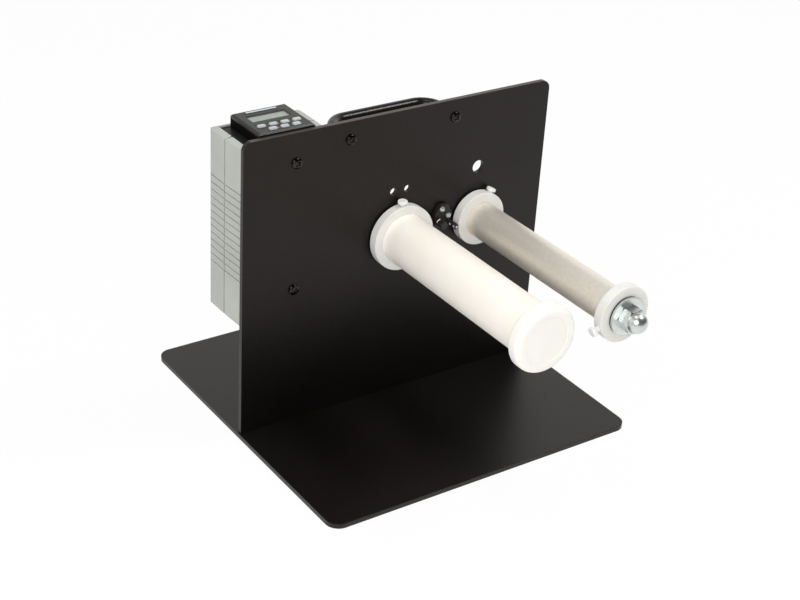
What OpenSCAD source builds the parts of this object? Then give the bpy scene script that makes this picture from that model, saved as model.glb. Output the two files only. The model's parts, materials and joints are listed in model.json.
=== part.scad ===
// Label counting station: an L-shaped sheet stand that carries a driven rewind spool, a free-running
// supply spindle, a fork-shaped label sensor and a counter in its own instrument case.
// +Z is up, the front faces -Y. The origin is the centre of the base plate's underside.

/* [Stand] */
// Width of the upright
stand_w = 228.6; // [200:0.1:280]
// Overhang of the base plate beyond each side of the upright
base_over = 0.9; // [0:0.1:10]
// Depth of the base plate
base_d = 230.8; // [220:0.1:300]
// Thickness of both plates
plate_t = 3.2; // [2.5:0.1:5]
// Height of the upright's top edge above the table
upright_top = 206.3; // [200:0.1:250]
// Corner radius of the base plate
base_corner_r = 9; // [3:0.5:20]
// Radius of the upright's two top corners
upright_corner_r = 6; // [2:0.5:12]
// Radius of the two small spare holes
small_hole_r = 2.55; // [1:0.05:3.5]
// Distance between the two small spare holes
small_hole_pitch = 10.8; // [8:0.1:16]
// Height of the small spare holes above the spindle axes
small_hole_rise = 30.9; // [28:0.1:36]
// Radius of the large spare hole
large_hole_r = 4.4; // [2:0.1:6]
// Height of the large spare hole above the spindle axes
large_hole_rise = 34.7; // [28:0.1:40]

/* [Spindles] */
// Height of both spindle axes above the table
spindle_z = 120.5; // [110:0.1:130]
// Sideways distance between the two spindle axes
spindle_pitch = 60.75; // [58:0.05:75]
// Gap between the upright and the collars nearest to it
collar_gap = 1; // [0.6:0.1:2]
// Gap between the upright and the ends of both tubes
tube_gap = 1.2; // [0.8:0.1:2]
// Running clearance of shafts and collars, on the radius
running = 0.05; // [0.02:0.01:0.08]

/* [Rewind spool] */
// Outer radius of the white spool tube
spool_r = 16.7; // [15.5:0.1:17.5]
// Wall of the spool tube
spool_wall = 3.4; // [2.5:0.1:4]
// Length of the spool tube
spool_len = 144.3; // [120:0.1:180]
// Radius of the closed end flange
flange_r = 22; // [19:0.1:26]
// Thickness of the end flange
flange_t = 9.5; // [8:0.1:14]
// Length of the flange's plug inside the tube
flange_plug = 15; // [8:0.5:20]
// Radius of the spool's sliding collar
spool_collar_r = 22.4; // [20.5:0.1:22.6]
// Thickness of the spool's sliding collar
spool_collar_t = 6.5; // [6:0.1:8]
// Length of the hub inside the spool tube
hub_len = 30; // [20:0.5:40]
// Radius of the drive shaft
shaft_r = 4; // [3:0.1:5]

/* [Drive] */
// Radius of the bearing housing's barrel
housing_r = 15.5; // [14.8:0.1:16]
// Radius of the bearing housing's flange
housing_flange_r = 21.4; // [21:0.1:24]
// Thickness of the bearing housing's flange
housing_flange_t = 4; // [3:0.1:6]
// Outer radius of the shaft bushes
bush_r = 7; // [6:0.1:8]
// Length of each shaft bush
bush_len = 11; // [8:0.5:11.5]
// Depth of the bearing bore, from the upright's back face
bearing_depth = 25; // [24:0.5:30]
// Depth of the chamber between the bearing bore and the motor's socket
chamber_len = 7; // [5:0.5:10]
// Depth of the motor's socket
socket_len = 14; // [10:0.5:20]
// Radius of the gearbox
gearbox_r = 12.5; // [11.5:0.1:13]
// Length of the gearbox
gearbox_len = 28; // [20:0.5:30]
// Radius of the motor can
motor_r = 12.2; // [10:0.1:12.4]
// Length of the motor can
motor_len = 32; // [25:0.5:34]
// Length of the motor's end cap
cap_len = 4; // [3:0.5:5]

/* [Supply spindle] */
// Outer radius of the metal tube
idle_r = 11.8; // [11.4:0.1:12.4]
// Wall of the metal tube
idle_wall = 1.65; // [1:0.05:1.8]
// Length of the metal tube
idle_len = 151.6; // [130:0.1:180]
// Radius of the two white collars
idle_collar_r = 18.4; // [17:0.1:18.5]
// Thickness of the two white collars
idle_collar_t = 6.9; // [6:0.1:8]
// Radius of the fixed axle
axle_r = 4.76; // [4:0.02:5]
// Length of each tube bush
tube_bush_len = 14; // [8:0.5:20]
// Width of the axle nuts and the acorn nut across their flats
nut_flats = 14.29; // [13.5:0.01:15.5]
// Thickness of the plain axle nuts
nut_t = 8.3; // [6:0.1:9]
// Thickness of the metal washers
washer_t = 1.6; // [1:0.1:2]
// Radius of the zinc washer under the acorn nut
flat_washer_r = 12.3; // [10:0.1:13]
// Radius of the black friction washer
friction_washer_r = 12.3; // [10:0.1:13]
// Thickness of the friction washer
friction_washer_t = 1; // [0.5:0.1:2.5]
// Height of the acorn nut's hexagon
acorn_hex_h = 7; // [5:0.1:8]
// Height of the acorn nut's dome
acorn_dome_h = 7.9; // [6:0.1:9]

/* [Thumb screws] */
// Radius of the nylon thumb screws' heads
thumb_head_r = 3.2; // [2.8:0.1:3.2]
// Thickness of the thumb screws' heads
thumb_head_h = 2.2; // [1.8:0.1:2.3]
// Radius of the thumb screws' shanks
thumb_shank_r = 1.9; // [1.4:0.1:2.2]

/* [Label sensor] */
// Height of the sensor's foot on the upright
sensor_t = 3; // [2.5:0.1:4]
// Length of the lens prong, from the upright
prong_reach = 12.4; // [10:0.1:15]
// Length of the round prong, from the upright
barrel_reach = 10.4; // [8:0.1:13]
// Radius of the round prong
barrel_r = 2.6; // [2:0.1:2.6]

/* [Case] */
// Width of the grey case
case_w = 63.2; // [58:0.1:66]
// Depth of the grey case
case_d = 39.5; // [38.5:0.1:45]
// Height of the grey case
case_h = 121; // [116:0.1:130]
// Drop of the case's rim below the upright's top edge
case_drop = 5.1; // [3:0.1:8]
// Wall of the case
case_wall = 2.4; // [2:0.1:2.6]
// Inward lean of the front half's sides, at the upright
case_lean = 1; // [0.2:0.1:1.2]
// Width of the case's rim along its sides
rim_w = 5; // [4.6:0.1:6]
// Width of the case's rim along its rear
rear_rim_w = 3.6; // [3.4:0.1:5]
// Fall of the rim towards its outer edge
rim_fall = 1; // [0.4:0.1:1.2]
// Thickness of the end panels
panel_t = 2; // [1.5:0.1:2.5]
// Depth of the top panel below the rim
top_sink = 1; // [0.9:0.1:2]
// Depth of the bottom panel inside the lower rim
bottom_sink = 3; // [2.8:0.1:3.5]
// Number of louvre grooves on each side of a half
groove_count = 13; // [8:1:16]
// Distance between two grooves
groove_pitch = 4.9; // [3:0.1:5.5]
// Height of the grooves' middle above the case's middle
groove_rise = 0.7; // [-5:0.1:5]
// Width and depth of a groove
groove_w = 0.6; // [0.4:0.1:1.2]
// Width and depth of the groove between the two halves
parting_w = 1.1; // [0.6:0.1:1.6]
// Drop of the upper mounting screw below the rim
mount_screw_drop = 14.9; // [14:0.1:20]
// Height of the lower mounting screw above the case's lower end
mount_screw_rise = 19.7; // [18:0.1:26]
// Distance of the mounting screws from the case's middle, to the right
mount_screw_side = 5.1; // [0:0.1:10]

/* [Counter] */
// Width of the counter's housing
counter_w = 38.3; // [36:0.1:44]
// Depth of the counter's housing
counter_d = 34.8; // [33:0.1:36]
// Height of the counter's housing above the case's rim
counter_h = 7.2; // [6.4:0.1:12]
// Thickness of the counter's face
face_t = 2.5; // [2.2:0.1:3]
// Bevel around the counter's face
face_bevel = 1.2; // [0.6:0.1:1.2]
// Width of the display window
window_w = 27; // [20:0.1:28]
// Depth of the display window
window_d = 9.4; // [7:0.1:10]
// Width of a key
key_w = 5.3; // [4.6:0.1:6.2]
// Depth of a key
key_d = 3.2; // [2.6:0.1:3.4]
// Height of the keys above the counter's face
key_rise = 0.9; // [0.7:0.1:1.5]
// Sideways distance between two keys of a row
key_pitch = 8.1; // [7.4:0.1:8.2]
// Sideways step from the rear row of keys to the front row
key_stagger = 4.7; // [3:0.1:5.5]
// Distance between the two rows of keys
key_row_pitch = 5.7; // [4.5:0.1:6]
// Travel of a key
key_travel = 0.6; // [0.3:0.05:0.9]

/* [Handle] */
// Gap between the case and the handle
handle_gap = 7.9; // [3:0.1:20]
// Distance between the handle's two screws
handle_pitch = 78.4; // [70:0.1:100]
// Radius of the handle's bar
handle_bar_r = 4; // [3.5:0.1:5]
// Radius of the handle's bends, on the bar's axis
handle_bend_r = 13; // [8:0.5:20]
// Reach of the handle's bar behind the upright
handle_reach = 26.7; // [22:0.1:40]
// Drop of the handle's screws below the upright's top edge
handle_drop = 12.2; // [8:0.1:20]

/* [Hidden] */
$fn = 64;
// overshoot of cutting tools
cut = 0.5;
// clearance between loose faces of pieces that do not move on each other
play = 0.1;
front = -plate_t / 2;
back = plate_t / 2;

// spindle positions, sideways and outward from the upright's front face
drive_x = 0;
idle_x = drive_x + spindle_pitch;
spool_end = tube_gap + spool_len;
idle_end = tube_gap + idle_len;
spool_bore_r = spool_r - spool_wall;
idle_bore_r = idle_r - idle_wall;
outer_collar_start = idle_end - idle_collar_t;
friction_start = idle_end + 2 * play;
flat_washer_start = friction_start + friction_washer_t;
acorn_start = flat_washer_start + washer_t;
acorn_dome_r = 6.7;
acorn_shoulder = 1.2;
thread_over = 2;
axle_rear = washer_t + nut_t + thread_over;
axle_front = acorn_start + acorn_hex_h + thread_over / 2;
rear_washer_r = 10;
washer_room = 1;
shaft_over = 4;
shaft_rear = bearing_depth + shaft_over;
shaft_tip_r = shaft_r / 2;
shaft_tip_grip = 3;
shaft_tip_len = chamber_len + shaft_tip_grip;
shaft_tip_room = 1;
flange_seat = 2;
motor_start = bearing_depth + chamber_len;
motor_end = motor_start + gearbox_len + motor_len;
motor_tab = [2.8, 5, 0.5];
motor_tab_x = 7;
cap_inset = 1;
bush_room = 1;
chamber_room = 2;

// soft edges
collar_edge_r = 0.5;
flange_soft_r = 4;
flange_back_r = 1.5;
flange_dish_r = 15;
flange_dish = 0.4;
nut_chamfer = 0.6;

// thumb screws: turn about the spindle from straight up, and gap between rim and head
spool_thumb_turn = -2;
spool_thumb_gap = 1.2;
inner_thumb_turn = 26;
inner_thumb_gap = 0.9;
outer_thumb_turn = 249.5;
outer_thumb_gap = 3;
thumb_edge = 0.3;
thumb_round = 0.7;
thumb_slot_w = 0.9;
thumb_slot_depth = 0.8;
thumb_sweep = sqrt(pow(idle_collar_r + inner_thumb_gap + thumb_head_h, 2) + pow(thumb_head_r, 2));
spool_sweep = sqrt(pow(spool_collar_r + spool_thumb_gap + thumb_head_h, 2) + pow(thumb_head_r, 2));

// screws
screw_r = 2;
screw_head_r = 3.6;
screw_head_h = 2;
screw_hole_play = 0.15;
screw_hole_r = screw_r + screw_hole_play;
small_screw_r = 1.5;
small_head_h = 2;
set_screw_r = 1.5;
access_play = 0.4;
hub_screw_sink = 1;
sensor_screw_r = 1;
sensor_head_r = 1.9;
sensor_head_h = 1.4;
housing_screw_inset = 3.2;
housing_screw_ring = housing_flange_r - housing_screw_inset;
housing_screw_turns = [90, 210, 330];
countersink_r = 2.9;
countersink_h = countersink_r - small_screw_r;
cross_slot = [3.4, 0.7, 1.6];

// sensor: its sides follow the swept circles of the two thumb screws
sensor_gap = 0.4;
sensor_left = drive_x + spool_sweep + sensor_gap;
sensor_clear_r = thumb_sweep + sensor_gap;
prong_right = idle_x - sensor_clear_r;
prong_w = 2.2;
prong_h = 3.2;
prong_rise = 1.5;
prong_z = spindle_z + prong_rise;
barrel_rise = 3.3;
barrel_x = sensor_left + barrel_r + play;
barrel_z = spindle_z + barrel_rise;
sensor_drop = 2;
sensor_rise = 14.6;
shoulder_rise = 7.4;
sensor_low = spindle_z - sensor_drop;
sensor_high = spindle_z + sensor_rise;
sensor_shoulder = spindle_z + shoulder_rise;
sensor_slope = 6.6;
sensor_foot = 1.2;
crest_w = 5.4;
crest_inset = 2.6;
sensor_top_x1 = prong_right - crest_inset;
sensor_top_x0 = sensor_top_x1 - crest_w;
// sensor screws: distance to the left of the lens prong and height above the spindle axes
upper_screw = [7, 11.6];
lower_screw = [1.8, 6.2];
sensor_screw_places = [for (p = [upper_screw, lower_screw]) [prong_right - p[0], spindle_z + p[1]]];
lens_r = 0.9;
lens_depth = 0.6;
lens_rise = 0.15;
lens_inset = 2;

// case, counted from the stand's left edge, the upright's back face and its top edge
case_x0 = -stand_w / 2;
case_x1 = case_x0 + case_w;
case_xm = (case_x0 + case_x1) / 2;
case_y0 = back;
case_y1 = back + case_d;
case_ym = (case_y0 + case_y1) / 2;
case_z1 = upright_top - case_drop;
case_z0 = case_z1 - case_h;
upright_edge_r = 3;
rail_t = 2;
panel_grip = 0.8;
top_zone = top_sink + panel_t + rail_t;
bottom_zone = bottom_sink + panel_t + rail_t;
top_panel_z = case_z1 - top_sink - panel_t;
bottom_panel_z = case_z0 + bottom_sink;
groove_mid_z = (case_z0 + case_z1) / 2 + groove_rise;
groove_margin = 1.4;
post_r = 3.5;
post_inset = 7;
post_floor = 3;
post_foot_gap = 6;
post_head_gap = 17;
post_low = case_z0 + bottom_zone + post_foot_gap;
post_high = case_z1 - top_zone - post_head_gap;
case_screw_head_r = 3;
case_screw_head_play = 0.2;
case_screw_sink = 3;
case_screw_room = 5;
mount_screw_x = case_xm + mount_screw_side;
mount_screw_zs = [case_z1 - mount_screw_drop, case_z0 + mount_screw_rise];
mount_boss_r = 4;
mount_boss_len = 3.2;
mount_screw_room = 0.5;

// counter, on the case's top panel
counter_x0 = case_xm - counter_w / 2;
counter_x1 = case_xm + counter_w / 2;
counter_setback = 0.4;
counter_y0 = back + counter_setback;
counter_y1 = counter_y0 + counter_d;
counter_low = case_z1 + play;
counter_top = counter_low + counter_h;
face_low = counter_top - face_t;
counter_wall = 1.6;
skirt_gap = 0.2;
skirt_y0 = case_y0 + rim_w + skirt_gap;
skirt_y1 = min(counter_y1, case_y1 - rear_rim_w) - skirt_gap;
neck_step = 2.2;
neck_edge = 0.7;
neck_w = counter_w - 2 * neck_step;
neck_y0 = skirt_y0 + neck_edge;
neck_y1 = skirt_y1 - neck_edge;
neck_len = 19;
neck_low = top_panel_z + panel_t - neck_len;
window_t = 0.8;
window_sink = 0.2;
window_margin = 8;
window_y1 = counter_y1 - window_margin;
window_y0 = window_y1 - window_d;
lcd_margin = 0.4;
clip_w = 3;
clip_t = 4;
clip_edge = 0.9;
key_hole_play = 0.15;
key_lip = 0.5;
key_lip_t = 0.8;
key_edge_r = 0.9;
key_step = 0.3;
key_step_h = 0.4;
key_stop_gap = 0.2;
key_row_inset = 3.9;
key_row_y = counter_y0 + key_row_inset;
key_first_x = case_xm - 1.5 * key_pitch;
board_t = 1.6;
board_low = face_low - play - key_lip_t - key_travel - key_stop_gap - board_t;
key_places = [
    for (i = [0 : 3]) [key_first_x + i * key_pitch, key_row_y + key_row_pitch],
    for (i = [0 : 2]) [key_first_x + key_stagger + i * key_pitch, key_row_y]
];

// control board, on posts of the rear half
control_side_gap = 8.5;
control_foot_gap = 24;
control_head_gap = 6;
control_standoff = 6;
control_x0 = case_x0 + case_wall + control_side_gap;
control_x1 = case_x1 - case_wall - control_side_gap;
control_z0 = case_z0 + control_foot_gap;
control_z1 = neck_low - control_head_gap;
control_y = case_y1 - case_wall - control_standoff;
control_post_r = 2.5;
control_pin_r = 1.2;
control_pin_over = 1;
control_post_inset = 4;
terminal_block = [18, 8, 7];
transformer = [18, 14, 18];
driver_chip = [10, 3, 5];
capacitor_r = 4;
capacitor_len = 11;
capacitor_pitch = 12;
component_gap = 4;

// power inlet and rocker switch, in the bottom panel
inlet_side = 13;
inlet_x = case_xm - inlet_side;
inlet_r = 5.4;
inlet_flange_r = 7;
inlet_flange_t = 1.3;
inlet_len = 13;
inlet_socket_r = 3.1;
inlet_socket_depth = 8.7;
inlet_pin_r = 1;
inlet_pin_sink = 0.5;
inlet_nut_t = 2.5;
inlet_nut_w = 4;
switch_side = 9;
switch_x = case_xm + switch_side;
switch_w = 17;
switch_d = 9.6;
switch_wall = 1.5;
switch_lip = 1.2;
switch_lip_t = 1.6;
switch_h = 15;
switch_room = 8;
switch_tab = [0.8, 4.8, 6];
switch_tab_x = 5;
switch_pivot_rise = 2.4;
switch_pivot_z = bottom_panel_z + switch_pivot_rise;
rocker_tilt = 8;
rocker_w = 14;
rocker_gap = 0.3;
rocker_low = 5.6;
rocker_dip = 4.6;
rocker_side = 3;
rocker_back = 2;
rocker_back_w = 5.2;
rocker_pin_r = 1.2;

// handle
handle_x = case_x1 + handle_gap + handle_bar_r + handle_pitch / 2;
handle_z = upright_top - handle_drop;
handle_hole_depth = 10;
handle_hole_room = 1;

// Points of a circular arc
function arc(x, y, r, from, to, steps = 10) =
    [for (i = [0 : steps]) let (a = from + (to - from) * i / steps) [x + r * cos(a), y + r * sin(a)]];

// Rectangle with round corners, its centre at the origin
module rounded_rect(w, h, r) {
    square([w - 2 * r, h], center = true);
    square([w, h - 2 * r], center = true);
    for (x = [-1, 1], y = [-1, 1])
        translate([x * (w / 2 - r), y * (h / 2 - r)]) circle(r = r);
}

// Box between two corners
module span(low, high) {
    translate(low) cube(high - low);
}

// Round bar along Y, placed by distances outward from the upright's front face
module out_rod(x, z, r, d0, d1) {
    translate([x, front - d0, z]) rotate([90, 0, 0]) cylinder(r = r, h = d1 - d0);
}

// Round ring along Y, in front of the upright
module out_ring(x, z, r, bore, d0, d1) {
    difference() {
        out_rod(x, z, r, d0, d1);
        out_rod(x, z, bore, d0 - cut, d1 + cut);
    }
}

// Round bar along Y, placed by distances backward from the upright's back face
module back_rod(x, z, r, b0, b1) {
    translate([x, back + b0, z]) rotate([-90, 0, 0]) cylinder(r = r, h = b1 - b0);
}

// Round ring along Y, behind the upright
module back_ring(x, z, r, bore, b0, b1) {
    difference() {
        back_rod(x, z, r, b0, b1);
        back_rod(x, z, bore, b0 - cut, b1 + cut);
    }
}

// Hexagon nut along Y with round-cut corners; local z runs outward
module hex_nut(flats, h, bore) {
    corner_r = flats / sqrt(3);
    corner_h = (corner_r - flats / 2) * nut_chamfer;
    difference() {
        intersection() {
            cylinder(r = corner_r, h = h, $fn = 6);
            rotate_extrude() polygon([
                [0, 0], [flats / 2, 0], [corner_r, corner_h],
                [corner_r, h - corner_h], [flats / 2, h], [0, h]
            ]);
        }
        translate([0, 0, -cut]) cylinder(r = bore, h = h + 2 * cut);
    }
}

// Pan-head screw with a cross recess; the head stands on z = 0 and the shank runs down
module pan_screw(head_r, head_h, shank_r, length) {
    low_rim = head_h * 0.35;
    difference() {
        union() {
            rotate_extrude() polygon(concat(
                [[0, 0], [head_r, 0]],
                [for (i = [0 : 8]) let (a = 90 * i / 8)
                    [head_r * cos(a), low_rim + (head_h - low_rim) * sin(a)]]
            ));
            translate([0, 0, -length]) cylinder(r = shank_r, h = length + play);
        }
        for (a = [45, 135])
            translate([0, 0, head_h]) rotate([0, 0, a])
                cube([head_r * 1.05, head_r * 0.27, head_h * 1.1], center = true);
    }
}

// Headless set screw along local z with a round key hole
module set_screw(r, length) {
    difference() {
        cylinder(r = r, h = length);
        translate([0, 0, length - r]) cylinder(r = r * 0.5, h = r + cut);
    }
}

// Places its children on a spindle, with local z along the radius at the given turn from straight up
module at_radius(x, d, turn) {
    translate([x, front - d, spindle_z]) rotate([0, turn, 0]) children();
}

// Sliding collar with the cross hole of its thumb screw
module sliding_collar(x, r, bore, d0, t, turn) {
    difference() {
        translate([x, front - d0, spindle_z]) rotate([90, 0, 0]) rotate_extrude() polygon(concat(
            [[bore, 0]],
            arc(r - collar_edge_r, collar_edge_r, collar_edge_r, -90, 0, 4),
            arc(r - collar_edge_r, t - collar_edge_r, collar_edge_r, 0, 90, 4),
            [[bore, t]]
        ));
        at_radius(x, d0 + t / 2, turn) cylinder(r = thumb_shank_r + running, h = r + cut);
    }
}

// Nylon thumb screw of a sliding collar: slotted head on a plain shank
module thumb_screw(x, rim, tip, d, turn, gap) {
    at_radius(x, d, turn) difference() {
        union() {
            translate([0, 0, tip]) cylinder(r = thumb_shank_r, h = rim + gap - tip + play);
            translate([0, 0, rim + gap]) rotate_extrude() polygon(concat(
                [[0, 0], [thumb_head_r - thumb_edge, 0], [thumb_head_r, thumb_edge]],
                arc(thumb_head_r - thumb_round, thumb_head_h - thumb_round, thumb_round, 0, 90, 4),
                [[0, thumb_head_h]]
            ));
        }
        translate([0, 0, rim + gap + thumb_head_h])
            cube([thumb_head_r * 3, thumb_slot_w, 2 * thumb_slot_depth], center = true);
    }
}

module base_plate() {
    color("#242322") linear_extrude(plate_t)
        rounded_rect(stand_w + 2 * base_over, base_d, base_corner_r);
}

// Outline of the upright, as x and height
module upright_outline() {
    translate([-stand_w / 2, plate_t]) square([stand_w, upright_top - plate_t - upright_corner_r]);
    translate([-stand_w / 2 + upright_corner_r, plate_t])
        square([stand_w - 2 * upright_corner_r, upright_top - plate_t]);
    for (s = [-1, 1])
        translate([s * (stand_w / 2 - upright_corner_r), upright_top - upright_corner_r])
            circle(r = upright_corner_r);
}

module upright_hole(x, z, r) {
    out_rod(x, z, r, -plate_t - cut, cut);
}

module upright_plate() {
    color("#242322") difference() {
        translate([0, back, 0]) rotate([90, 0, 0]) linear_extrude(plate_t) upright_outline();
        for (z = mount_screw_zs) upright_hole(mount_screw_x, z, screw_hole_r);
        for (s = [-1, 1]) upright_hole(handle_x + s * handle_pitch / 2, handle_z, screw_hole_r);
        for (s = [-1, 1])
            upright_hole(drive_x + s * small_hole_pitch / 2, spindle_z + small_hole_rise, small_hole_r);
        upright_hole(idle_x, spindle_z + large_hole_rise, large_hole_r);
        upright_hole(drive_x, spindle_z, bush_r + bush_room);
        upright_hole(idle_x, spindle_z, axle_r + play);
        for (p = sensor_screw_places) upright_hole(p[0], p[1], sensor_screw_r);
        for (a = housing_screw_turns) at_radius(drive_x, 0, a) translate([0, 0, housing_screw_ring])
            rotate([-90, 0, 0]) {
                translate([0, 0, -cut]) cylinder(r = small_screw_r + play, h = plate_t + 2 * cut);
                translate([0, 0, -cut]) cylinder(r = countersink_r + play, h = cut + play);
                translate([0, 0, play])
                    cylinder(r1 = countersink_r + play, r2 = small_screw_r + play, h = countersink_h);
            }
    }
}

// Slab whose ends fall away towards the sides and the rear; both halves are cut from it
module case_slab() {
    side = case_w / 2;
    intersection() {
        translate([case_xm, case_y1, 0]) rotate([90, 0, 0]) linear_extrude(case_d) polygon([
            [-side, case_z0 + rim_fall], [rim_w - side, case_z0],
            [side - rim_w, case_z0], [side, case_z0 + rim_fall],
            [side, case_z1 - rim_fall], [side - rim_w, case_z1],
            [rim_w - side, case_z1], [-side, case_z1 - rim_fall]
        ]);
        translate([case_x0, 0, 0]) rotate([90, 0, 90]) linear_extrude(case_w) polygon([
            [case_y0, case_z0], [case_y1 - rear_rim_w, case_z0], [case_y1, case_z0 + rim_fall],
            [case_y1, case_z1 - rim_fall], [case_y1 - rear_rim_w, case_z1], [case_y0, case_z1]
        ]);
    }
}

// Outline of the front half seen from above, its sides leaning in towards the upright
module front_plan() {
    polygon([
        [case_x0 + case_lean, case_y0], [case_x1 - case_lean, case_y0],
        [case_x1, case_ym], [case_x0, case_ym]
    ]);
}

// Outline of the rear half seen from above, with round outer corners
module rear_plan() {
    translate([case_x0, case_ym]) square([case_w, case_d / 2 - upright_edge_r]);
    translate([case_x0 + upright_edge_r, case_ym]) square([case_w - 2 * upright_edge_r, case_d / 2]);
    for (x = [case_x0 + upright_edge_r, case_x1 - upright_edge_r])
        translate([x, case_y1 - upright_edge_r]) circle(r = upright_edge_r);
}

// Groove that runs round the outside where the two halves meet
module parting_groove() {
    y0 = case_ym - parting_w / 2;
    y1 = case_ym + parting_w / 2;
    for (x = [case_x0, case_x1])
        span([x - parting_w, y0, case_z0 - cut], [x + parting_w, y1, case_z1 + cut]);
    for (z = [case_z0, case_z1])
        span([case_x0 - cut, y0, z - parting_w], [case_x1 + cut, y1, z + parting_w]);
}

// Hollow of the closed case: cavity, open ends and the slots of both panels
module case_hollow() {
    slot = case_wall + panel_grip - play;
    span([case_x0 + case_wall, case_y0 + case_wall, case_z0 + bottom_zone],
         [case_x1 - case_wall, case_y1 - case_wall, case_z1 - top_zone]);
    span([case_x0 + rim_w, case_y0 + rim_w, case_z0 - cut],
         [case_x1 - rim_w, case_y1 - rear_rim_w, case_z1 + cut]);
    for (z = [bottom_panel_z, top_panel_z])
        span([case_x0 + slot, case_y0 + slot, z], [case_x1 - slot, case_y1 - slot, z + panel_t]);
}

// Louvre grooves on both sides of one half, from y0 to y1; the side leans in by the given amount at y0
module case_grooves(y0, y1, lean) {
    for (i = [0 : groove_count - 1], s = [0, 1]) {
        z = groove_mid_z + (i - (groove_count - 1) / 2) * groove_pitch;
        translate([case_xm, 0, z - groove_w / 2]) mirror([s, 0, 0]) linear_extrude(groove_w) polygon([
            [case_w / 2 + cut, y0], [case_w / 2 + cut, y1],
            [case_w / 2 - groove_w, y1], [case_w / 2 - lean - groove_w, y0]
        ]);
    }
}

// Places its children at the four closing posts of the case
module at_case_posts() {
    for (x = [case_x0 + post_inset, case_x1 - post_inset], z = [post_low, post_high])
        translate([x, case_ym, z]) children();
}

module case_front_half() {
    post_len = case_d / 2 - case_wall;
    color("#b9bcb6") difference() {
        union() {
            difference() {
                intersection() {
                    case_slab();
                    translate([0, 0, case_z0]) linear_extrude(case_h) front_plan();
                }
                case_hollow();
                case_grooves(case_y0 + groove_margin, case_ym + cut, case_lean);
                parting_groove();
            }
            at_case_posts() rotate([90, 0, 0]) cylinder(r = post_r, h = post_len + play);
            for (z = mount_screw_zs)
                back_rod(mount_screw_x, z, mount_boss_r, case_wall - play, case_wall + mount_boss_len);
        }
        at_case_posts() rotate([90, 0, 0]) cylinder(r = small_screw_r, h = post_len - post_floor);
        for (z = mount_screw_zs)
            back_rod(mount_screw_x, z, screw_r, -cut, case_wall + mount_boss_len + cut);
    }
}

module case_rear_half() {
    post_len = case_d / 2 - case_wall;
    head_hole_r = case_screw_head_r + case_screw_head_play;
    color("#b9bcb6") difference() {
        union() {
            difference() {
                intersection() {
                    case_slab();
                    translate([0, 0, case_z0]) linear_extrude(case_h) rear_plan();
                }
                case_hollow();
                case_grooves(case_ym - cut, case_y1 - groove_margin, 0);
                parting_groove();
            }
            at_case_posts() rotate([-90, 0, 0]) cylinder(r = post_r, h = post_len + play);
            at_control_posts() rotate([-90, 0, 0]) {
                translate([0, 0, board_t])
                    cylinder(r = control_post_r, h = control_standoff - board_t + play);
                translate([0, 0, -control_pin_over])
                    cylinder(r = control_pin_r, h = control_pin_over + board_t + play);
            }
        }
        at_case_posts() rotate([-90, 0, 0]) {
            translate([0, 0, -cut]) cylinder(r = small_screw_r + play, h = case_d);
            translate([0, 0, case_d / 2 - case_screw_sink])
                cylinder(r = head_hole_r, h = case_screw_sink + cut);
        }
    }
}

module case_screws() {
    shank = case_d - case_screw_sink - case_wall - case_screw_room;
    color("#3b3b3d") at_case_posts() translate([0, case_d / 2 - case_screw_sink, 0]) rotate([-90, 0, 0])
        pan_screw(case_screw_head_r, small_head_h, small_screw_r, shank);
}

module case_mount_screws() {
    shank = plate_t + case_wall + mount_boss_len - mount_screw_room;
    color("#1b1b1c") for (z = mount_screw_zs)
        translate([mount_screw_x, front, z]) rotate([90, 0, 0])
            pan_screw(screw_head_r, screw_head_h, screw_r, shank);
}

// End panel of the case, its lower face at the given height
module end_panel(z) {
    grip = case_wall + panel_grip;
    span([case_x0 + grip, case_y0 + grip, z], [case_x1 - grip, case_y1 - grip, z + panel_t]);
}

module case_top_panel() {
    color("#1d1d1e") difference() {
        end_panel(top_panel_z);
        span([case_xm - neck_w / 2 - play, neck_y0 - play, top_panel_z - cut],
             [case_xm + neck_w / 2 + play, neck_y1 + play, top_panel_z + panel_t + cut]);
    }
}

module case_bottom_panel() {
    color("#1d1d1e") difference() {
        end_panel(bottom_panel_z);
        translate([inlet_x, case_ym, bottom_panel_z - cut])
            cylinder(r = inlet_r + play, h = panel_t + 2 * cut);
        span([switch_x - switch_w / 2 - switch_wall - play, case_ym - switch_d / 2 - switch_wall - play,
              bottom_panel_z - cut],
             [switch_x + switch_w / 2 + switch_wall + play, case_ym + switch_d / 2 + switch_wall + play,
              bottom_panel_z + panel_t + cut]);
    }
}

module counter_housing() {
    panel_top = top_panel_z + panel_t;
    color("#262525") difference() {
        union() {
            span([counter_x0, counter_y0, counter_low], [counter_x1, counter_y1, face_low]);
            span([counter_x0, skirt_y0, panel_top], [counter_x1, skirt_y1, counter_low + play]);
            span([case_xm - neck_w / 2, neck_y0, neck_low],
                 [case_xm + neck_w / 2, neck_y1, panel_top + play]);
        }
        span([counter_x0 + counter_wall, counter_y0 + counter_wall, board_low],
             [counter_x1 - counter_wall, counter_y1 - counter_wall, face_low + cut]);
        span([case_xm - neck_w / 2 + counter_wall, neck_y0 + counter_wall, neck_low + counter_wall],
             [case_xm + neck_w / 2 - counter_wall, neck_y1 - counter_wall, board_low + cut]);
    }
}

// Side view of the bevelled face, as width and height
module face_profile(w) {
    polygon([
        [-w / 2, 0], [w / 2, 0], [w / 2, face_t - face_bevel],
        [w / 2 - face_bevel, face_t], [face_bevel - w / 2, face_t], [-w / 2, face_t - face_bevel]
    ]);
}

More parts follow.
